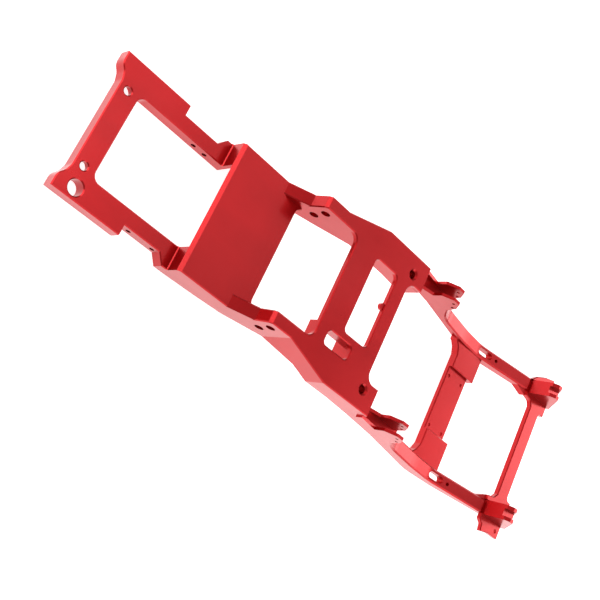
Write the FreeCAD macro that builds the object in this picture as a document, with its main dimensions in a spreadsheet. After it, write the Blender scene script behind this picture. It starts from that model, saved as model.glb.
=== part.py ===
import FreeCAD, Part
import math
import os
import Sketcher

# Ladder frame of a small four wheel crawler.
# Bodies are drawn with X from the rear edge and Z from the underside, in millimetres,
# and every body is then moved so that the frame is centred on the origin along X.
# +X is the front (fork and servo plate end), +Y is the left side, -Y the right side.

DIMENSIONS = (
    ("frame_length", 194.0, "overall length"),
    ("rail_out", 20.7, "outer wall of the rails at the deck"),
    ("shoulder_out", 21.0, "outer wall of the rear end plate"),
    ("rail_in", 16.75, "inner wall of the rails at the deck"),
    ("wide_out", 25.4, "outer wall of the rails from the centre forwards"),
    ("front_in", 20.75, "inner wall of the front rails"),
    ("rear_thick", 4.0, "thickness of the rear end plate"),
    ("lip_x", 2.2, "depth of the recess in the rear edge"),
    ("lip_in", 13.4, "half width of the straight part of that recess"),
    ("lip_mid", 15.6, "half width where the recess starts to curve"),
    ("lip_out", 17.5, "inner end of the two rear corner lips"),
    ("lip_mid_x", 1.5, "depth of the recess on its curve"),
    ("lip_r", 3.0, "radius of the bends of that recess"),
    ("end_bar_x", 8.75, "front face of the rear bar"),
    ("notch_x", 22.5, "front end of the rear plate's shoulders"),
    ("arm_in", 13.3, "inner wall of the rear arms"),
    ("arm_out", 17.85, "outer wall of the rear arms"),
    ("riser_x", 35.1, "rear end of the deck risers"),
    ("flare_x", 37.5, "where the deck risers reach the full width"),
    ("riser_face", 39.5, "upright face of the deck risers"),
    ("riser_end", 40.8, "front end of the deck risers"),
    ("riser_foot", 0.25, "small slope at the foot of the risers' upright face"),
    ("rear_window_r", 2.4, "corner radius of the rear window"),
    ("small_hole_x", 5.15, "rear screw holes from the rear edge"),
    ("small_hole_y", 11.9, "rear screw holes from the centre line"),
    ("small_hole_r", 1.15, "rear screw hole radius"),
    ("head_r", 2.4, "radius of the screw head recesses under those holes"),
    ("head_depth", 2.4, "depth of those recesses from below"),
    ("hole_rim", 0.3, "chamfer on the rear holes"),
    ("big_hole_x", 6.1, "large rear hole from the rear edge"),
    ("big_hole_y", 17.8, "large rear hole from the centre line"),
    ("big_hole_r", 2.2, "large rear hole radius"),
    ("side_hole_z", 1.9, "height of the side holes in the arms"),
    ("side_hole_r", 0.75, "radius of the side holes in the arms"),
    ("left_hole_a", 29.8, "rear side hole of the left arm"),
    ("left_hole_b", 34.0, "front side hole of the left arm"),
    ("right_hole_a", 25.2, "rear side hole of the right arm"),
    ("right_hole_b", 33.7, "front side hole of the right arm"),
    ("deck_under", 8.6, "underside of the battery deck"),
    ("deck_top", 9.8, "top of the battery deck"),
    ("deck_rear", 40.4, "rear end of the deck's top face"),
    ("deck_rail_end", 57.75, "end of the deck over the rails"),
    ("deck_end", 64.25, "end of the deck between the rails"),
    ("deck_corner", 1.7, "size of the corner pieces where the deck meets the rails"),
    ("deck_corner_r", 1.8, "radius where those corner pieces start"),
    ("rail_mid_x", 52.0, "first bend of the rail's lower edge"),
    ("rail_mid_z", 1.0, "height of that bend"),
    ("rail_low_x", 61.5, "second bend of the rail's lower edge"),
    ("rail_low_z", 2.4, "height of that bend"),
    ("ear_x", 64.5, "rear face of the link mounts"),
    ("ear_foot_z", 14.7, "top of the ramp at the link mount"),
    ("ear_low_z", 3.7, "lower edge of the rail at the link mount"),
    ("ear_step_x", 65.4, "upper end of the link mount's rear face"),
    ("ear_step_z", 19.5, "height of that edge"),
    ("ear_edge_r", 0.35, "radius of the link mounts' cross edges"),
    ("ear_top_x", 66.2, "start of the link mount's top face"),
    ("ear_hole_x", 68.6, "link mount holes along the frame"),
    ("ear_hole_low", 12.1, "height of the lower link mount hole"),
    ("ear_hole_high", 17.1, "height of the upper link mount hole"),
    ("ear_hole_r", 1.4, "link mount hole radius"),
    ("top_z", 20.75, "top of the centre plate"),
    ("skin_z", 19.2, "underside of the centre plate"),
    ("kick_x", 73.75, "front end of the link mounts"),
    ("kick_low_z", 7.8, "lower edge of the rail there"),
    ("belly_x", 84.0, "start of the level underside"),
    ("belly_z", 12.8, "level underside of the centre rails"),
    ("wide_x", 90.6, "where the frame reaches its full width"),
    ("belly_end_x", 100.0, "end of the level underside"),
    ("wing_x", 110.75, "front end of the centre plate"),
    ("wing_low_z", 11.6, "lower edge of the rail there"),
    ("wing_in", 16.8, "inner end of the centre plate's front wings"),
    ("bar_x", 104.9, "front edge of the centre plate between the wings"),
    ("wing_r", 3.2, "radius between that edge and the wings"),
    ("window_one_x", 80.25, "rear edge of the centre plate"),
    ("window_one_r", 2.6, "corner radius at that edge"),
    ("window_two_rear", 89.6, "rear edge of the narrow window"),
    ("window_two_front", 99.75, "front edge of the narrow window"),
    ("window_two_left", 15.6, "left edge of the narrow window"),
    ("window_two_right", 9.1, "right edge of the narrow window"),
    ("window_two_r", 1.5, "corner radius of the narrow window"),
    ("slot_rear", 84.6, "rear end of the side slot"),
    ("slot_front", 94.8, "front end of the side slot"),
    ("slot_in", 11.4, "inner side of the side slot"),
    ("slot_out", 16.0, "outer side of the side slot"),
    ("slot_r", 1.4, "corner radius of the side slot"),
    ("boss_rear", 82.9, "rear end of the slot boss"),
    ("boss_front", 98.0, "front end of the slot boss"),
    ("boss_in", 9.5, "inner wall of the slot boss"),
    ("plate_hole_x", 104.9, "centre plate holes along the frame"),
    ("plate_hole_y", 19.6, "centre plate holes from the centre line"),
    ("plate_hole_r", 1.25, "centre plate hole radius"),
    ("plate_sink", 0.55, "chamfer on the centre plate holes"),
    ("lip_low_z", 16.6, "underside of the slot boss beside the slot"),
    ("peg_x", 99.4, "wire peg along the frame"),
    ("peg_y", 4.9, "wire peg from the centre line"),
    ("peg_r", 1.1, "wire peg radius"),
    ("peg_top", 20.2, "top of the wire peg"),
    ("saddle_z", 16.0, "top of the front rails at the shock mounts"),
    ("saddle_x", 128.5, "front end of that level top"),
    ("fork_bend_x", 132.6, "upper bend of the front rail's slope"),
    ("fork_bend_z", 11.4, "height of that bend"),
    ("dip_top_x", 148.5, "lower bend of the front rail's slope"),
    ("dip_top_z", 8.3, "height of that bend"),
    ("dip_mid_x", 158.5, "front end of the lowest part of the top"),
    ("dip_mid_z", 7.6, "height there"),
    ("post_x", 181.0, "rear face of the front posts"),
    ("bend_r", 14.0, "radius of the tight bends of the front rails"),
    ("sweep_r", 34.0, "radius of the gentle bends of the front rails"),
    ("rail_end_z", 13.6, "top of the front rails at the posts"),
    ("rail_tip_z", 10.6, "underside of the front rails at the posts"),
    ("under_a_x", 124.6, "underside of the front rails, first bend"),
    ("under_a_z", 9.4, "height of that bend"),
    ("under_b_x", 151.0, "underside of the front rails, lowest bend"),
    ("under_b_z", 2.7, "height of that bend"),
    ("under_c_x", 162.75, "underside of the front rails, front bend"),
    ("under_c_z", 4.6, "height of that bend"),
    ("rail_slot_rear", 157.3, "rear end of the rail slots"),
    ("rail_slot_front", 163.4, "front end of the rail slots"),
    ("rail_slot_y", 23.1, "rail slots from the centre line"),
    ("rail_slot_r", 1.1, "half width of the rail slots"),
    ("web_in", 22.1, "inner wall of the front rails below their flange"),
    ("web_rear_z", 13.6, "underside of that flange at the centre plate"),
    ("web_mid_x", 126.0, "bend of that flange's underside"),
    ("web_mid_z", 12.8, "height of that bend"),
    ("web_end_x", 146.4, "front end of the flange's underside"),
    ("web_end_z", 7.4, "height of that end"),
    ("hollow_rear", 155.5, "rear end of the hollow under each rail slot"),
    ("hollow_front", 168.0, "front end of that hollow"),
    ("hollow_in", 21.45, "inner wall of that hollow"),
    ("hollow_out", 24.7, "outer wall of that hollow"),
    ("hollow_top_z", 6.1, "roof of that hollow"),
    ("rail_hole_x", 165.3, "small rail holes along the frame"),
    ("rail_hole_r", 0.6, "small rail hole radius"),
    ("prong_thick", 1.0, "thickness of the shock mount prongs"),
    ("prong_out", 25.9, "outer face of the outer prongs"),
    ("cheek_top_z", 18.6, "top of the outer prongs' rear cheek"),
    ("cheek_foot_z", 17.0, "front end of that cheek's slope"),
    ("prong_rear", 114.5, "rear foot of the prongs"),
    ("prong_knee_x", 118.7, "knee of the prongs' rear edge"),
    ("prong_knee_z", 17.4, "height of the knee"),
    ("prong_back_z", 21.0, "top of the prongs' upright rear edge"),
    ("prong_tip_x", 121.7, "rear end of the prong tips"),
    ("prong_tip_z", 23.9, "height of the prong tips"),
    ("prong_nose_x", 124.4, "front end of the prong tips"),
    ("prong_cheek_x", 126.7, "front shoulder of the prongs"),
    ("prong_cheek_z", 21.0, "height of that shoulder"),
    ("prong_front", 127.7, "front foot of the prongs"),
    ("pin_high_x", 123.7, "upper shock pin hole along the frame"),
    ("pin_high_z", 22.1, "height of the upper shock pin hole"),
    ("pin_low_x", 125.9, "lower shock pin hole along the frame"),
    ("pin_low_z", 20.0, "height of the lower shock pin hole"),
    ("pin_r", 0.5, "shock pin hole radius"),
    ("servo_rear", 149.2, "rear edge of the servo plate"),
    ("servo_mid_front", 159.4, "front edge of the servo plate's recess"),
    ("servo_front", 161.2, "front edge of the servo plate's ends"),
    ("servo_flare_x", 146.4, "rear end of the servo plate's gussets"),
    ("servo_bend_x", 148.2, "bend of the gussets"),
    ("servo_bend_y", 18.9, "bend of the gussets"),
    ("servo_flare_y", 16.5, "inner end of the servo plate's gussets"),
    ("servo_low", 4.2, "underside of the servo plate"),
    ("servo_floor", 5.8, "floor of the servo plate's recess"),
    ("servo_top", 7.1, "top of the servo plate's ends"),
    ("servo_step_left", 12.0, "left end of the servo plate's recess"),
    ("servo_step_right", 10.8, "right end of the servo plate's recess"),
    ("servo_hole_a", 150.6, "rear servo plate holes"),
    ("servo_hole_b", 157.4, "front servo plate holes"),
    ("servo_hole_y", 9.1, "servo plate holes from the centre line"),
    ("servo_hole_r", 0.6, "servo plate hole radius"),
    ("cross_rear", 185.2, "rear edge of the front cross bar"),
    ("cross_front", 190.7, "front edge of the front cross bar"),
    ("cross_end_front", 193.2, "front edge of the cross bar's ends"),
    ("cross_step", 16.6, "inner end of the cross bar's ends"),
    ("cross_low", 12.2, "underside of the front cross bar"),
    ("cross_top", 14.0, "top of the front cross bar"),
    ("cross_r", 1.6, "radius at the cross bar's ends"),
    ("post_in", 20.3, "inner wall of the front posts"),
    ("post_step_z", 12.9, "floor of the small groove behind the front posts"),
    ("post_foot_x", 181.8, "foot of the front posts' rear face"),
    ("post_back_x", 183.0, "upper end of that face"),
    ("post_back_z", 21.4, "height of that end"),
    ("post_tip_x", 184.6, "rear end of the front posts' tips"),
    ("gusset_x", 177.0, "rear end of the corner gussets at the nose"),
    ("gusset_top_z", 11.8, "top of the gussets at their rear end"),
    ("gusset_low_z", 9.2, "underside of the gussets at their rear end"),
    ("gusset_y", 18.8, "inner wall of the gussets at the posts"),
    ("gusset_knee_x", 184.0, "knee of the gussets"),
    ("gusset_knee_y", 18.2, "knee of the gussets"),
    ("gusset_end_y", 16.6, "inner end of the gussets"),
    ("gusset_r", 1.5, "radius of the gussets' knee"),
    ("post_tip_z", 23.1, "height of the front posts"),
    ("post_nose_x", 186.2, "front end of the front posts' tips"),
    ("post_foot_z", 14.6, "front foot of the front posts"),
    ("post_notch", 1.3, "wall beside the notch in the front posts"),
    ("post_notch_z", 20.6, "floor of the notch in the front posts"),
    ("tab_low", 12.5, "underside of the bumper tabs"),
    ("tab_top", 14.0, "top of the bumper tabs"),
    ("tab_root", 27.3, "end of the straight part of the right tab's rear edge"),
    ("tab_waist_x", 182.8, "waist of the bumper tabs' rear edge"),
    ("tab_waist_y", 28.5, "waist of the bumper tabs' rear edge"),
    ("tab_out", 30.8, "rear outer corner of the bumper tabs"),
    ("tab_corner_x", 183.3, "rear outer corner of the bumper tabs"),
    ("tab_edge_x", 187.6, "bend of the bumper tabs' outer edge"),
    ("tab_edge", 29.9, "outer edge of the right bumper tab"),
    ("left_out", 30.8, "front outer corner of the left bumper tab"),
    ("tab_front_x", 192.7, "front outer corner of the bumper tabs"),
    ("left_waist_x", 183.2, "rear bend of the left bumper tab"),
    ("left_waist_y", 27.4, "rear bend of the left bumper tab"),
    ("left_edge_x", 187.6, "outer bend of the left bumper tab"),
    ("left_edge_y", 29.4, "outer bend of the left bumper tab"),
    ("edge_break", 0.3, "chamfer along the upper edges"),
    ("bar_break", 0.3, "chamfer along the rear end plate's upper edges"),
    ("rail_break", 0.5, "chamfer along the front rails' upper edges"),
    ("tab_hole_x", 190.4, "bumper tab hole along the frame"),
    ("tab_hole_y", 27.9, "bumper tab hole from the centre line"),
    ("tab_hole_r", 0.7, "bumper tab hole radius"),
)

VALUES = {name: size for name, size, note in DIMENSIONS}

doc = FreeCAD.newDocument("FourWheelChassis")
sheet = doc.addObject("Spreadsheet::Sheet", "Dim")
for row, (name, size, note) in enumerate(DIMENSIONS, start=1):
    sheet.set("A%d" % row, note)
    sheet.set("B%d" % row, str(size))
    sheet.setAlias("B%d" % row, name)
doc.recompute()

NODES = []
LONG = 200.0


def terms(text):
    """Split a sum such as 'a+b-c' into signed names."""
    spaced = text.replace("-", " -").replace("+", " +")
    return [(-1.0 if word[0] == "-" else 1.0, word.lstrip("+-")) for word in spaced.split()]


def value(text):
    """The size in millimetres of a sum of named dimensions."""
    return sum(sign * VALUES.get(name, 0.0) for sign, name in terms(text))


def formula(text):
    """The same sum, written for the spreadsheet."""
    return " ".join("%s Dim.%s" % ("-" if sign < 0 else "+", name) for sign, name in terms(text)).lstrip("+ ")


def tie(sketch, kind, geo, pos, text):
    """Hold one coordinate of a point at a named size, or on the axis for '0'."""
    if text == "0":
        sketch.addConstraint(Sketcher.Constraint("PointOnObject", geo, pos, -2 if kind == "DistanceX" else -1))
        return
    index = sketch.addConstraint(Sketcher.Constraint(kind, -1, 1, geo, pos, value(text)))
    sketch.setExpression("Constraints[%d]" % index, formula(text))


def vector(point):
    return FreeCAD.Vector(value(point[0]), value(point[1]), 0)


def new_body(label):
    body = doc.addObject("PartDesign::Body", label)
    body.Label = label
    body.setExpression("Placement.Base.x", "-Dim.frame_length / 2")
    NODES.append(body)
    return body


def new_sketch(body, plane, offset=""):
    """An empty sketch on one of the body's own planes, moved along the plane's normal."""
    sketch = body.newObject("Sketcher::SketchObject", "Sketch")
    support = [f for f in body.Origin.OriginFeatures if f.Role == plane][0]
    sketch.AttachmentSupport = (support, [""])
    sketch.MapMode = "FlatFace"
    if offset:
        sketch.setExpression("AttachmentOffset.Base.z", formula(offset))
    return sketch


def polygon(sketch, points):
    first = sketch.GeometryCount
    count = len(points)
    for i, point in enumerate(points):
        line = Part.LineSegment(vector(point), vector(points[(i + 1) % count]))
        sketch.addGeometry(line, False)
    for i, point in enumerate(points):
        before = first + (i - 1) % count
        sketch.addConstraint(Sketcher.Constraint("Coincident", before, 2, first + i, 1))
        tie(sketch, "DistanceX", first + i, 1, point[0])
        tie(sketch, "DistanceY", first + i, 1, point[1])


def circle(sketch, centre, radius):
    geo = sketch.addGeometry(Part.Circle(vector(centre), FreeCAD.Vector(0, 0, 1), value(radius)), False)
    tie(sketch, "DistanceX", geo, 3, centre[0])
    tie(sketch, "DistanceY", geo, 3, centre[1])
    index = sketch.addConstraint(Sketcher.Constraint("Radius", geo, value(radius)))
    sketch.setExpression("Constraints[%d]" % index, formula(radius))


def pad(body, sketch, length):
    feature = body.newObject("PartDesign::Pad", "Pad")
    feature.Profile = sketch
    feature.setExpression("Length", formula(length))
    doc.recompute()
    return feature


def pocket(body, sketch, length=""):
    """Cut both ways right through, or to a named depth on both sides; the volume must drop."""
    before = body.Shape.Volume
    feature = body.newObject("PartDesign::Pocket", "Pocket")
    feature.Profile = sketch
    feature.SideType = "Symmetric"
    if length:
        feature.setExpression("Length", formula(length))
    else:
        feature.Length = LONG
    doc.recompute()
    if body.Shape.Volume >= before - 1e-6:
        raise RuntimeError("no cut in " + body.Label)
    return feature


def edges_along(shape, axis, places):
    """Names of the straight edges along an axis (0 X, 1 Y, 2 Z) at the given two other coordinates."""
    names = []
    others = [i for i in range(3) if i != axis]
    for number, edge in enumerate(shape.Edges, start=1):
        if edge.Curve.TypeId != "Part::GeomLine":
            continue
        ends = [vertex.Point for vertex in edge.Vertexes]
        if abs(ends[0][others[0]] - ends[1][others[0]]) > 1e-4:
            continue
        if abs(ends[0][others[1]] - ends[1][others[1]]) > 1e-4:
            continue
        for place in places:
            near_a = abs(ends[0][others[0]] - value(place[0])) < 1e-3
            near_b = abs(ends[0][others[1]] - value(place[1])) < 1e-3
            if near_a and near_b:
                names.append("Edge%d" % number)
    return names


def dress(body, kind, size, axis, places):
    """Round ('Fillet') or bevel ('Chamfer') the edges found at the given places."""
    base = body.Tip
    names = edges_along(base.Shape, axis, places)
    if len(names) < len(places):
        raise RuntimeError("edge missing in " + body.Label)
    feature = body.newObject("PartDesign::" + kind, kind)
    feature.Base = (base, names)
    feature.setExpression("Radius" if kind == "Fillet" else "Size", formula(size))
    doc.recompute()
    return feature


def on_plane(edge, planes):
    """True if both ends and the middle of an edge lie on one of the planes (axis, place)."""
    middle = edge.valueAt((edge.FirstParameter + edge.LastParameter) / 2)
    points = [vertex.Point for vertex in edge.Vertexes] + [middle]
    return any(all(abs(point[axis] - value(place)) < 1e-3 for point in points) for axis, place in planes)


def is_upper_edge(shape, edge):
    """True for an outer edge between a face that looks up and an upright wall."""
    faces = shape.ancestorsOfType(edge, Part.Face)
    if len(faces) != 2 or len(edge.Vertexes) != 2:
        return False
    middle = edge.valueAt((edge.FirstParameter + edge.LastParameter) / 2)
    normals = [face.normalAt(*face.Surface.parameter(middle)) for face in faces]
    normals.sort(key=lambda normal: normal.z)
    wall, top = normals
    if top.z < 0.75 or abs(wall.z) > 0.15:
        return False
    probe = middle + wall * 0.05 - top * 0.02
    return not shape.isInside(probe, 1e-5, False)


def break_edges(body, size, seams=(), walls=()):
    """Chamfer the upper edges, all but those on the seams, or only those on the given walls."""
    base = body.Tip
    names = []
    for number, edge in enumerate(base.Shape.Edges, start=1):
        if on_plane(edge, seams) or (walls and not on_plane(edge, walls)):
            continue
        if is_upper_edge(base.Shape, edge):
            names.append("Edge%d" % number)
    feature = body.newObject("PartDesign::Chamfer", "Chamfer")
    feature.Base = (base, names)
    feature.setExpression("Size", formula(size))
    doc.recompute()
    return feature


def break_rims(body, size, height, centres):
    """Chamfer the rims of round holes at a height."""
    base = body.Tip
    names = []
    for number, edge in enumerate(base.Shape.Edges, start=1):
        if edge.Curve.TypeId != "Part::GeomCircle" or len(edge.Vertexes) != 1:
            continue
        middle = edge.Curve.Center
        for x, y in centres:
            across = math.hypot(middle.x - value(x), middle.y - value(y))
            if across < 1e-3 and abs(middle.z - value(height)) < 1e-3:
                names.append("Edge%d" % number)
    if len(names) < len(centres):
        raise RuntimeError("rim missing in " + body.Label)
    feature = body.newObject("PartDesign::Chamfer", "Chamfer")
    feature.Base = (base, names)
    feature.setExpression("Size", formula(size))
    doc.recompute()
    return feature


def side_block(label, points, inner, outer):
    """A side profile (X, Z) made solid between two walls of the right side."""
    body = new_body(label)
    sketch = new_sketch(body, "XZ_Plane", inner)
    polygon(sketch, points)
    minus = "".join("-" + name if sign > 0 else "+" + name for sign, name in terms(inner))
    pad(body, sketch, outer + minus)
    return body


def plan_block(label, points, low, high):
    """A plan outline (X, Y) made solid between two heights."""
    body = new_body(label)
    sketch = new_sketch(body, "XY_Plane", low)
    polygon(sketch, points)
    pad(body, sketch, high + "-" + low)
    return body


def side_holes(body, holes):
    sketch = new_sketch(body, "XZ_Plane")
    for x, z, radius in holes:
        circle(sketch, (x, z), radius)
    pocket(body, sketch)


def down_holes(body, holes):
    sketch = new_sketch(body, "XY_Plane")
    for x, y, radius in holes:
        circle(sketch, (x, y), radius)
    pocket(body, sketch)


def down_cut(body, points):
    sketch = new_sketch(body, "XY_Plane")
    polygon(sketch, points)
    pocket(body, sketch)


def rounded_slot(body, rear, front, middle, radius):
    """A slot with round ends, running along X and cut right through from above."""
    sketch = new_sketch(body, "XY_Plane")
    across = value(middle)
    half = value(radius)
    start = value(rear) + half
    stop = value(front) - half
    up = FreeCAD.Vector(0, 0, 1)
    for x, turn in ((start, math.pi / 2), (stop, -math.pi / 2)):
        ring = Part.Circle(FreeCAD.Vector(x, across, 0), up, half)
        sketch.addGeometry(Part.ArcOfCircle(ring, turn, turn + math.pi), False)
    for side in (half, -half):
        ends = (FreeCAD.Vector(start, across + side, 0), FreeCAD.Vector(stop, across + side, 0))
        sketch.addGeometry(Part.LineSegment(*ends), False)
    for arc, arc_end, line, line_end in ((0, 1, 2, 1), (0, 2, 3, 1), (1, 2, 2, 2), (1, 1, 3, 2)):
        sketch.addConstraint(Sketcher.Constraint("Tangent", arc, arc_end, line, line_end))
    tie(sketch, "DistanceY", 0, 3, middle)
    tie(sketch, "DistanceX", 0, 3, rear + "+" + radius)
    tie(sketch, "DistanceX", 1, 3, front + "-" + radius)
    sketch.addConstraint(Sketcher.Constraint("Horizontal", 2))
    index = sketch.addConstraint(Sketcher.Constraint("Radius", 0, half))
    sketch.setExpression("Constraints[%d]" % index, formula(radius))
    pocket(body, sketch)


def mirrored(label, source):
    """The left hand twin of a right hand piece."""
    twin = doc.addObject("Part::Mirroring", label)
    twin.Label = label
    twin.Source = source
    twin.Normal = FreeCAD.Vector(0, 1, 0)
    NODES.append(twin)
    return twin


def negated(text):
    """The same sum with every sign turned round."""
    return "".join(("+" if sign < 0 else "-") + name for sign, name in terms(text))


def both_sides(points):
    """A half outline with positive Y, closed by its reflection with negative Y."""
    flipped = [(x, negated(y)) for x, y in reversed(points)]
    return list(points) + flipped


# Rear end plate: a bar with two shoulders, recessed along its rear edge.
rear_half = [
    ("lip_x", "lip_in"), ("lip_mid_x", "lip_mid"), ("0", "lip_out"), ("0", "shoulder_out"),
    ("notch_x", "shoulder_out"), ("notch_x", "arm_in"), ("end_bar_x", "arm_in"),
]
rear_plate = new_body("rear_end_plate")
rear_sketch = new_sketch(rear_plate, "XY_Plane")
polygon(rear_sketch, both_sides(rear_half))
pad(rear_plate, rear_sketch, "rear_thick")
down_holes(rear_plate, [
    ("small_hole_x", "small_hole_y", "small_hole_r"),
    ("small_hole_x", "-small_hole_y", "small_hole_r"),
    ("big_hole_x", "-big_hole_y", "big_hole_r"),
])
dress(rear_plate, "Fillet", "rear_window_r", 2, [("end_bar_x", "arm_in"), ("end_bar_x", "-arm_in")])
dress(rear_plate, "Fillet", "lip_r", 2, both_sides([
    ("lip_x", "lip_in"), ("lip_mid_x", "lip_mid"), ("0", "lip_out"),
]))
break_edges(rear_plate, "bar_break", seams=[(0, "notch_x")])
heads = new_sketch(rear_plate, "XY_Plane")
circle(heads, ("small_hole_x", "small_hole_y"), "head_r")
circle(heads, ("small_hole_x", "-small_hole_y"), "head_r")
pocket(rear_plate, heads, "head_depth+head_depth")
break_rims(rear_plate, "hole_rim", "rear_thick", [
    ("small_hole_x", "small_hole_y"), ("small_hole_x", "-small_hole_y"), ("big_hole_x", "-big_hole_y"),
])

# Rear arms: narrower bars that carry on from the shoulders, with holes in from the side.
for label, sign, holes in (
    ("rear_arm_right", "-", ("right_hole_a", "right_hole_b")),
    ("rear_arm_left", "", ("left_hole_a", "left_hole_b")),
):
    arm = new_body(label)
    arm_sketch = new_sketch(arm, "XY_Plane")
    polygon(arm_sketch, [
        ("notch_x", sign + "arm_in"), ("riser_x", sign + "arm_in"),
        ("riser_x", sign + "arm_out"), ("notch_x", sign + "arm_out"),
    ])
    pad(arm, arm_sketch, "rear_thick")
    side_holes(arm, [(x, "side_hole_z", "side_hole_r") for x in holes])
    break_edges(arm, "bar_break", seams=[(0, "notch_x"), (0, "riser_x")])

# Deck risers: the arms flare out and step up to carry the deck.
riser = new_body("deck_riser_right")
riser_sketch = new_sketch(riser, "XY_Plane")
polygon(riser_sketch, [
    ("riser_x", "-arm_in"), ("riser_x", "-arm_out"), ("flare_x", "-rail_out"),
    ("riser_end", "-rail_out"), ("riser_end", "-arm_in"),
])
pad(riser, riser_sketch, "rear_thick")
step_sketch = new_sketch(riser, "XZ_Plane", "arm_in")
polygon(step_sketch, [
    ("riser_face-riser_foot", "rear_thick"), ("riser_end", "rear_thick"), ("riser_end", "deck_under"),
    ("riser_face", "deck_under"), ("riser_face", "rear_thick+riser_foot"),
])
pad(riser, step_sketch, "rail_out-arm_in")
break_edges(riser, "bar_break", seams=[(0, "riser_x"), (0, "riser_end"), (2, "deck_under")])
mirrored("deck_riser_left", riser)

# Deck rails: upright side plates below the deck that ramp up behind it.
deck_rail = side_block("deck_rail_right", [
    ("riser_end", "deck_under"), ("deck_rail_end", "deck_under"), ("deck_rail_end", "deck_top"),
    ("ear_x", "ear_foot_z"), ("ear_x", "ear_low_z"), ("rail_low_x", "rail_low_z"),
    ("rail_mid_x", "rail_mid_z"), ("riser_end", "0"),
], "rail_in", "rail_out")
break_edges(deck_rail, "edge_break", seams=[(0, "deck_rail_end"), (0, "ear_x"), (2, "deck_under")])
mirrored("deck_rail_left", deck_rail)

# Battery deck: a thin plate across both rails with a long bevel on its rear edge.
deck = plan_block("battery_deck", both_sides([
    ("riser_face", "rail_out"), ("deck_rail_end", "rail_out"), ("deck_rail_end", "rail_in"),
    ("deck_end+deck_corner", "rail_in"), ("deck_end", "rail_in-deck_corner"),
]), "deck_under", "deck_top")
dress(deck, "Fillet", "deck_corner_r", 2, [
    ("deck_end", "rail_in-deck_corner"), ("deck_end", "deck_corner-rail_in"),
])
bevel = new_sketch(deck, "XZ_Plane")
polygon(bevel, [
    ("riser_face", "deck_under"), ("deck_rear", "deck_top"), ("riser_face", "deck_top"),
])
pocket(deck, bevel)
break_edges(deck, "edge_break", seams=[(0, "deck_rail_end"), (1, "rail_in"), (1, "-rail_in")])

# Link mounts: tall ears at the end of the rails with two cross holes each.
ear = side_block("link_mount_right", [
    ("ear_x", "ear_low_z"), ("kick_x", "kick_low_z"), ("kick_x", "top_z"), ("ear_top_x", "top_z"),
    ("ear_step_x", "ear_step_z"), ("ear_x", "ear_foot_z"),
], "rail_in", "rail_out")
side_holes(ear, [
    ("ear_hole_x", "ear_hole_low", "ear_hole_r"), ("ear_hole_x", "ear_hole_high", "ear_hole_r"),
])
dress(ear, "Fillet", "ear_edge_r", 1, [("ear_top_x", "top_z"), ("ear_step_x", "ear_step_z")])
break_edges(ear, "edge_break", seams=[(0, "kick_x")])
mirrored("link_mount_left", ear)

# Centre plate: the wide top skin with the narrow window, the side slot and two sunk holes.
centre = plan_block("centre_plate", both_sides([
    ("window_one_x", "rail_in"), ("kick_x", "rail_in"), ("kick_x", "rail_out"), ("wide_x", "wide_out"),
    ("wing_x", "wide_out"), ("wing_x", "wing_in"), ("bar_x", "wing_in"),
]), "skin_z", "top_z")
down_cut(centre, [
    ("window_two_rear", "window_two_left"), ("window_two_front", "window_two_left"),
    ("window_two_front", "-window_two_right"), ("window_two_rear", "-window_two_right"),
])
down_cut(centre, [
    ("slot_rear", "-slot_in"), ("slot_front", "-slot_in"), ("slot_front", "-slot_out"), ("slot_rear", "-slot_out"),
])
down_holes(centre, [
    ("plate_hole_x", "plate_hole_y", "plate_hole_r"), ("plate_hole_x", "-plate_hole_y", "plate_hole_r"),
])
dress(centre, "Fillet", "window_two_r", 2, [
    ("window_two_rear", "window_two_left"), ("window_two_front", "window_two_left"),
    ("window_two_front", "-window_two_right"), ("window_two_rear", "-window_two_right"),
])
dress(centre, "Fillet", "slot_r", 2, [
    ("slot_rear", "-slot_in"), ("slot_front", "-slot_in"), ("slot_front", "-slot_out"), ("slot_rear", "-slot_out"),
])
dress(centre, "Fillet", "wing_r", 2, [("bar_x", "wing_in"), ("bar_x", "-wing_in")])
dress(centre, "Fillet", "window_one_r", 2, [("window_one_x", "rail_in"), ("window_one_x", "-rail_in")])
break_edges(centre, "edge_break", seams=[(0, "kick_x")])
break_rims(centre, "plate_sink", "top_z", [("plate_hole_x", "plate_hole_y"), ("plate_hole_x", "-plate_hole_y")])

# Centre rails: deep side members below the centre plate.
centre_rail = side_block("centre_rail_right", [
    ("kick_x", "kick_low_z"), ("belly_x", "belly_z"), ("belly_end_x", "belly_z"), ("wing_x", "wing_low_z"),
    ("wing_x", "skin_z"), ("kick_x", "skin_z"),
], "rail_in", "wide_out")
down_cut(centre_rail, [("kick_x", "-rail_out"), ("wide_x", "-wide_out"), ("kick_x", "-wide_out")])
down_holes(centre_rail, [("plate_hole_x", "-plate_hole_y", "plate_hole_r")])
mirrored("centre_rail_left", centre_rail)

# Slot boss: the solid block that the side slot runs through, on the right side only.
boss = plan_block("slot_boss", [
    ("boss_rear", "-boss_in"), ("boss_front", "-boss_in"), ("boss_front", "-rail_in"), ("boss_rear", "-rail_in"),
], "belly_z", "skin_z")
down_cut(boss, [
    ("slot_rear", "-slot_in"), ("slot_front", "-slot_in"), ("slot_front", "-slot_out"), ("slot_rear", "-slot_out"),
])

boss_side = new_sketch(boss, "XY_Plane", "belly_z")
polygon(boss_side, [
    ("slot_rear", "-boss_in"), ("slot_front", "-boss_in"), ("slot_front", "-slot_in"), ("slot_rear", "-slot_in"),
])
pocket(boss, boss_side, "lip_low_z+lip_low_z-belly_z-belly_z")

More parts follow.
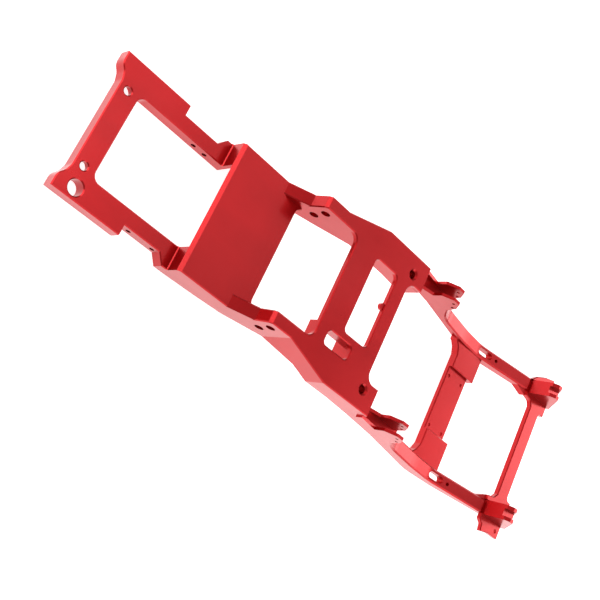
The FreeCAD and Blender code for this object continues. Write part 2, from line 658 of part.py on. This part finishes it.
# Wire peg: a low round stud let into the front wall of the narrow window.
peg = new_body("wire_peg")
peg_sketch = new_sketch(peg, "XY_Plane", "skin_z")
circle(peg_sketch, ("peg_x", "peg_y"), "peg_r")
pad(peg, peg_sketch, "peg_top-skin_z")
peg_seat = new_sketch(centre, "XY_Plane", "skin_z")
circle(peg_seat, ("peg_x", "peg_y"), "peg_r")
pocket(centre, peg_seat, "peg_top+peg_top-skin_z-skin_z")

# Front rails: they drop from the shock mounts to the servo plate and climb again to the nose.
front_rail = side_block("front_rail_right", [
    ("wing_x", "wing_low_z"), ("under_a_x", "under_a_z"), ("under_b_x", "under_b_z"),
    ("under_c_x", "under_c_z"), ("post_x", "rail_tip_z"), ("post_x", "rail_end_z"),
    ("dip_mid_x", "dip_mid_z"), ("dip_top_x", "dip_top_z"), ("fork_bend_x", "fork_bend_z"),
    ("saddle_x", "saddle_z"), ("wing_x", "saddle_z"),
], "front_in", "wide_out")
dress(front_rail, "Fillet", "bend_r", 1, [
    ("fork_bend_x", "fork_bend_z"), ("dip_mid_x", "dip_mid_z"), ("under_b_x", "under_b_z"),
])
dress(front_rail, "Fillet", "sweep_r", 1, [("dip_top_x", "dip_top_z"), ("under_a_x", "under_a_z")])
relief = new_sketch(front_rail, "XZ_Plane", "front_in")
polygon(relief, [
    ("wing_x", "0"), ("web_end_x", "0"), ("web_end_x", "web_end_z"),
    ("web_mid_x", "web_mid_z"), ("wing_x", "web_rear_z"),
])
pocket(front_rail, relief, "web_in+web_in-front_in-front_in")
rounded_slot(front_rail, "rail_slot_rear", "rail_slot_front", "-rail_slot_y", "rail_slot_r")
hollow = new_sketch(front_rail, "XY_Plane")
polygon(hollow, [
    ("hollow_rear", "-hollow_in"), ("hollow_front", "-hollow_in"),
    ("hollow_front", "-hollow_out"), ("hollow_rear", "-hollow_out"),
])
pocket(front_rail, hollow, "hollow_top_z+hollow_top_z")
down_holes(front_rail, [("rail_hole_x", "-rail_slot_y", "rail_hole_r")])
break_edges(front_rail, "rail_break", [(2, "saddle_z")], [(1, "-front_in"), (1, "-wide_out"), (0, "post_x")])
gusset = new_sketch(front_rail, "XZ_Plane", "gusset_y")
polygon(gusset, [
    ("gusset_x", "gusset_low_z"), ("post_x", "rail_tip_z"), ("post_x", "post_step_z"), ("gusset_x", "gusset_top_z"),
])
pad(front_rail, gusset, "front_in-gusset_y")
down_cut(front_rail, [("gusset_x", "-front_in"), ("gusset_x", "-gusset_y"), ("post_x", "-gusset_y")])
mirrored("front_rail_left", front_rail)

# Shock mount prongs: two upright cheeks on each front rail, drilled for cross pins.
inner_foot = [("prong_rear", "saddle_z"), ("prong_knee_x", "prong_knee_z")]
outer_foot = [("wing_x", "saddle_z"), ("wing_x", "cheek_top_z"), ("prong_knee_x", "cheek_foot_z")]
for label, foot, inner, outer in (
    ("shock_prong_inner", inner_foot, "front_in", "front_in+prong_thick"),
    ("shock_prong_outer", outer_foot, "prong_out-prong_thick", "prong_out"),
):
    prong = side_block(label + "_right", foot + [
        ("prong_knee_x", "prong_back_z"), ("prong_tip_x", "prong_tip_z"), ("prong_nose_x", "prong_tip_z"),
        ("prong_cheek_x", "prong_cheek_z"), ("prong_front", "saddle_z"),
    ], inner, outer)
    side_holes(prong, [("pin_high_x", "pin_high_z", "pin_r"), ("pin_low_x", "pin_low_z", "pin_r")])
    mirrored(label + "_left", prong)

# Servo plate: a cross plate with a shallow recess, raised ends and four small holes.
servo = plan_block("servo_plate", [
    ("servo_rear", "servo_flare_y"), ("servo_bend_x", "servo_bend_y"), ("servo_flare_x", "front_in"),
    ("servo_front", "front_in"), ("servo_front", "servo_step_left"), ("servo_mid_front", "servo_step_left"),
    ("servo_mid_front", "-servo_step_right"), ("servo_front", "-servo_step_right"), ("servo_front", "-front_in"),
    ("servo_flare_x", "-front_in"), ("servo_bend_x", "-servo_bend_y"), ("servo_rear", "-servo_flare_y"),
], "servo_low", "servo_top")
recess = new_sketch(servo, "XY_Plane", "servo_top")
polygon(recess, [
    ("servo_flare_x", "servo_step_left"), ("servo_front", "servo_step_left"),
    ("servo_front", "-servo_step_right"), ("servo_flare_x", "-servo_step_right"),
])
pocket(servo, recess, "servo_top+servo_top-servo_floor-servo_floor")
down_holes(servo, [
    (x, sign + "servo_hole_y", "servo_hole_r") for x in ("servo_hole_a", "servo_hole_b") for sign in ("", "-")
])

break_edges(servo, "edge_break", seams=[(1, "front_in"), (1, "-front_in")])

# Front cross bar with wider ends and a gusset in each rear corner.
cross = plan_block("front_cross_bar", both_sides([
    ("cross_rear", "gusset_end_y"), ("gusset_knee_x", "gusset_knee_y"), ("post_x", "gusset_y"),
    ("post_x", "post_in"), ("cross_end_front", "post_in"), ("cross_end_front", "cross_step"),
    ("cross_front", "cross_step"),
]), "cross_low", "cross_top")
dress(cross, "Fillet", "cross_r", 2, [("cross_front", "cross_step"), ("cross_front", "-cross_step")])
dress(cross, "Fillet", "gusset_r", 2, [("gusset_knee_x", "gusset_knee_y"), ("gusset_knee_x", "-gusset_knee_y")])
break_edges(cross, "edge_break", seams=[(1, "post_in"), (1, "-post_in"), (0, "post_x")])

# Front posts: wedge shaped uprights at the nose, notched between two small tips.
post = side_block("front_post_right", [
    ("post_x", "rail_tip_z"), ("cross_rear", "cross_low"), ("frame_length", "cross_low"),
    ("frame_length", "post_foot_z"), ("post_nose_x", "post_tip_z"), ("post_tip_x", "post_tip_z"),
    ("post_back_x", "post_back_z"), ("post_foot_x", "post_step_z"), ("post_x", "post_step_z"),
], "post_in", "wide_out")
notch = new_sketch(post, "XY_Plane", "post_tip_z")
polygon(notch, [
    ("post_x", "-post_in-post_notch"), ("frame_length", "-post_in-post_notch"),
    ("frame_length", "post_notch-wide_out"), ("post_x", "post_notch-wide_out"),
])
pocket(post, notch, "post_tip_z+post_tip_z-post_notch_z-post_notch_z")
mirrored("front_post_left", post)

# Bumper tabs: low brackets that stand out to the side of the posts; the left one is cut back.
right_tab = plan_block("bumper_tab_right", [
    ("post_x", "-wide_out"), ("post_x", "-tab_root"), ("tab_waist_x", "-tab_waist_y"), ("tab_corner_x", "-tab_out"),
    ("tab_edge_x", "-tab_edge"), ("tab_front_x", "-tab_edge"), ("tab_front_x", "-wide_out"),
], "tab_low", "tab_top")
down_holes(right_tab, [("tab_hole_x", "-tab_hole_y", "tab_hole_r")])
break_edges(right_tab, "edge_break", seams=[(1, "-wide_out")])
left_tab = plan_block("bumper_tab_left", [
    ("post_x", "wide_out"), ("left_waist_x", "left_waist_y"), ("left_edge_x", "left_edge_y"),
    ("tab_front_x", "left_out"), ("tab_front_x", "wide_out"),
], "tab_low", "tab_top")
down_holes(left_tab, [("tab_hole_x", "tab_hole_y", "tab_hole_r")])
break_edges(left_tab, "edge_break", seams=[(1, "wide_out")])

doc.recompute()

os.makedirs("parts", exist_ok=True)
for node in doc.Objects:
    if "Invalid" in node.State or "Error" in node.State:
        raise RuntimeError("%s is %s" % (node.Label, node.State))
for node in NODES:
    shape = node.Shape
    if shape.isNull() or not shape.isValid() or not shape.Solids:
        raise RuntimeError("bad shape: " + node.Label)
    shape.exportStep("parts/%s.step" % node.Label)
    box = shape.BoundBox
    print("%-26s %9.1f mm3  x %7.2f %7.2f  y %7.2f %7.2f  z %6.2f %6.2f" % (
        node.Label, shape.Volume, box.XMin, box.XMax, box.YMin, box.YMax, box.ZMin, box.ZMax))
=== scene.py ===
import bpy
from mathutils import Matrix, Vector


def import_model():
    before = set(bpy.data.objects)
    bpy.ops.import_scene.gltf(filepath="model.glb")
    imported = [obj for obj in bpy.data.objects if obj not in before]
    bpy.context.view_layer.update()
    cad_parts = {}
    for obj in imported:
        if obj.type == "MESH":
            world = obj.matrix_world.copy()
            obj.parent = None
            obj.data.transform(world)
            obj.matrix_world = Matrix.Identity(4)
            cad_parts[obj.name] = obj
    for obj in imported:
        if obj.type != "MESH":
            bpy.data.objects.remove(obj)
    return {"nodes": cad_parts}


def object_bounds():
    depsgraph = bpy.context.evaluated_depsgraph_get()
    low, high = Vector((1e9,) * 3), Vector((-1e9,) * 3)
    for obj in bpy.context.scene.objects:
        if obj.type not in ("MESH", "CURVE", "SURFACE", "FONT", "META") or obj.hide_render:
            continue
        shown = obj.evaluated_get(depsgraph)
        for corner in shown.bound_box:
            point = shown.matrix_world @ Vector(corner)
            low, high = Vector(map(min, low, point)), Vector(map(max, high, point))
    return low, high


# Studio scene for the bare ladder frame of a small four wheel crawler.
# +X is the front of the frame, +Y its left side and +Z its top; everything is in metres.

# Camera: a short telephoto above the rear right corner, turned a quarter turn on its own axis.
CAMERA_PLACE = Vector((-0.18591, -0.10529, 0.23800))
CAMERA_FORWARD = Vector((0.55876, 0.33206, -0.75995))
CAMERA_RIGHT = Vector((0.64224, 0.40650, 0.64984))
CAMERA_LENS = 63.0
CAMERA_SENSOR = 36.0
CAMERA_NEAR = 0.01
CAMERA_FAR = 50.0

# Anodised finish, as linear colours.
RED_DEEP = (0.42, 0.002, 0.004, 1.0)
RED_LIGHT = (0.53, 0.005, 0.008, 1.0)
METAL = 0.85
ROUGH_LOW = 0.27
ROUGH_HIGH = 0.40
CLOUD_SCALE = 22.0
STREAK_SCALE = 60.0
STREAK_STRETCH = (0.25, 1.0, 1.0)
GRAIN_SCALE = 4200.0
GRAIN_HEIGHT = 0.00001
GRAIN_STRENGTH = 0.35
COAT_WEIGHT = 0.7
COAT_ROUGH = 0.16
COAT_IOR = 1.28

FLOOR_SIZE = 6.0
FLOOR_GAP = 0.0004
FLOOR_COLOUR = (0.92, 0.92, 0.92, 1.0)
FLOOR_GLOW = 0.92
WHITE = (1.0, 1.0, 1.0, 1.0)
WORLD_GREY = 0.48


def make_camera():
    data = bpy.data.cameras.new("camera")
    data.lens = CAMERA_LENS
    data.sensor_width = CAMERA_SENSOR
    data.clip_start = CAMERA_NEAR
    data.clip_end = CAMERA_FAR
    camera = bpy.data.objects.new("camera", data)
    bpy.context.scene.collection.objects.link(camera)
    back = -CAMERA_FORWARD.normalized()
    right = (CAMERA_RIGHT - CAMERA_RIGHT.dot(back) * back).normalized()
    up = back.cross(right)
    turn = Matrix((right, up, back)).transposed()
    camera.matrix_world = Matrix.Translation(CAMERA_PLACE) @ turn.to_4x4()
    bpy.context.scene.camera = camera


def new_material(name):
    material = bpy.data.materials.new(name)
    material.use_nodes = True
    material.node_tree.nodes.clear()
    return material, material.node_tree.nodes, material.node_tree.links


def add_noise(nodes, links, vector, scale, detail, roughness):
    noise = nodes.new("ShaderNodeTexNoise")
    noise.inputs["Scale"].default_value = scale
    noise.inputs["Detail"].default_value = detail
    noise.inputs["Roughness"].default_value = roughness
    links.new(vector, noise.inputs["Vector"])
    return noise.outputs["Fac"]


def add_range(nodes, links, value, low, high, start=0.3, stop=0.7):
    remap = nodes.new("ShaderNodeMapRange")
    remap.inputs["From Min"].default_value = start
    remap.inputs["From Max"].default_value = stop
    remap.inputs["To Min"].default_value = low
    remap.inputs["To Max"].default_value = high
    links.new(value, remap.inputs["Value"])
    return remap.outputs["Result"]


def anodised_red():
    """Bead blasted aluminium with a dyed, clear sealed oxide layer."""
    material, nodes, links = new_material("anodised_red_finish")
    place = nodes.new("ShaderNodeTexCoord").outputs["Object"]
    stretch = nodes.new("ShaderNodeMapping")
    stretch.inputs["Scale"].default_value = STREAK_STRETCH
    links.new(place, stretch.inputs["Vector"])

    clouds = add_noise(nodes, links, place, CLOUD_SCALE, 4.0, 0.55)
    streaks = add_noise(nodes, links, stretch.outputs["Vector"], STREAK_SCALE, 6.0, 0.65)
    grain = add_noise(nodes, links, place, GRAIN_SCALE, 2.0, 0.5)

    colour = nodes.new("ShaderNodeMix")
    colour.data_type = "RGBA"
    colour.inputs["A"].default_value = RED_DEEP
    colour.inputs["B"].default_value = RED_LIGHT
    links.new(add_range(nodes, links, clouds, 0.0, 1.0), colour.inputs["Factor"])

    bump = nodes.new("ShaderNodeBump")
    bump.inputs["Strength"].default_value = GRAIN_STRENGTH
    bump.inputs["Distance"].default_value = GRAIN_HEIGHT
    links.new(grain, bump.inputs["Height"])

    shader = nodes.new("ShaderNodeBsdfPrincipled")
    shader.inputs["Metallic"].default_value = METAL
    shader.inputs["Coat Weight"].default_value = COAT_WEIGHT
    shader.inputs["Coat Roughness"].default_value = COAT_ROUGH
    shader.inputs["Coat IOR"].default_value = COAT_IOR
    links.new(colour.outputs["Result"], shader.inputs["Base Color"])
    links.new(add_range(nodes, links, streaks, ROUGH_LOW, ROUGH_HIGH), shader.inputs["Roughness"])
    links.new(bump.outputs["Normal"], shader.inputs["Normal"])
    output = nodes.new("ShaderNodeOutputMaterial")
    links.new(shader.outputs["BSDF"], output.inputs["Surface"])
    return material


def floor_material():
    """Pale studio floor, seen from above only, so that a view from below isn't blocked."""
    material, nodes, links = new_material("studio_floor")
    shader = nodes.new("ShaderNodeBsdfPrincipled")
    shader.inputs["Base Color"].default_value = FLOOR_COLOUR
    shader.inputs["Roughness"].default_value = 1.0
    shader.inputs["Specular IOR Level"].default_value = 0.0
    shader.inputs["Emission Color"].default_value = WHITE
    shader.inputs["Emission Strength"].default_value = FLOOR_GLOW
    clear = nodes.new("ShaderNodeBsdfTransparent")
    side = nodes.new("ShaderNodeNewGeometry").outputs["Backfacing"]
    mix = nodes.new("ShaderNodeMixShader")
    links.new(side, mix.inputs["Fac"])
    links.new(shader.outputs["BSDF"], mix.inputs[1])
    links.new(clear.outputs["BSDF"], mix.inputs[2])
    output = nodes.new("ShaderNodeOutputMaterial")
    links.new(mix.outputs["Shader"], output.inputs["Surface"])
    return material


def make_floor(level):
    half = FLOOR_SIZE / 2
    mesh = bpy.data.meshes.new("floor")
    corners = [(-half, -half, level), (half, -half, level), (half, half, level), (-half, half, level)]
    mesh.from_pydata(corners, [], [(0, 1, 2, 3)])
    mesh.materials.append(floor_material())
    floor = bpy.data.objects.new("floor", mesh)
    bpy.context.scene.collection.objects.link(floor)


def make_world():
    """Even grey light all round; where the camera looks past the floor, it sees white."""
    world = bpy.data.worlds.new("studio")
    world.use_nodes = True
    nodes = world.node_tree.nodes
    links = world.node_tree.links
    nodes.clear()
    grey = nodes.new("ShaderNodeBackground")
    grey.inputs["Color"].default_value = (WORLD_GREY, WORLD_GREY, WORLD_GREY, 1.0)
    white = nodes.new("ShaderNodeBackground")
    white.inputs["Color"].default_value = WHITE
    seen = nodes.new("ShaderNodeLightPath").outputs["Is Camera Ray"]
    mix = nodes.new("ShaderNodeMixShader")
    links.new(seen, mix.inputs["Fac"])
    links.new(grey.outputs["Background"], mix.inputs[1])
    links.new(white.outputs["Background"], mix.inputs[2])
    output = nodes.new("ShaderNodeOutputWorld")
    links.new(mix.outputs["Shader"], output.inputs["Surface"])
    bpy.context.scene.world = world


def soft_box(name, place, target, width, height, power):
    data = bpy.data.lights.new(name, "AREA")
    data.shape = "RECTANGLE"
    data.size = width
    data.size_y = height
    data.energy = power
    light = bpy.data.objects.new(name, data)
    bpy.context.scene.collection.objects.link(light)
    aim = Vector(target) - Vector(place)
    light.rotation_euler = aim.to_track_quat("-Z", "Y").to_euler()
    light.location = place


def make_lights():
    soft_box("front_box", (1.12, 0.36, 0.50), (0.05, 0.0, 0.0), 0.6, 0.7, 4.2)
    soft_box("rear_low_box", (-1.05, 0.38, 0.42), (-0.02, 0.0, 0.0), 1.4, 0.5, 6.5)
    soft_box("right_low_box", (0.62, -0.80, 0.36), (0.0, 0.0, 0.0), 1.2, 0.5, 3.0)
    soft_box("rear_top_box", (-0.02, 0.16, 0.38), (-0.08, 0.0, 0.0), 0.16, 0.22, 0.15)
    soft_box("deck_top_box", (0.46, 0.42, 1.00), (-0.04, 0.0, 0.0), 0.30, 0.45, 0.42)


def main():
    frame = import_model()
    cad_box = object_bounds()
    finish = anodised_red()
    for node in frame["nodes"].values():
        for slot in node.material_slots:
            slot.material = finish
    make_camera()
    make_world()
    make_floor(cad_box[0].z - FLOOR_GAP)
    make_lights()
    scene = bpy.context.scene
    scene.view_settings.view_transform = "Standard"


main()
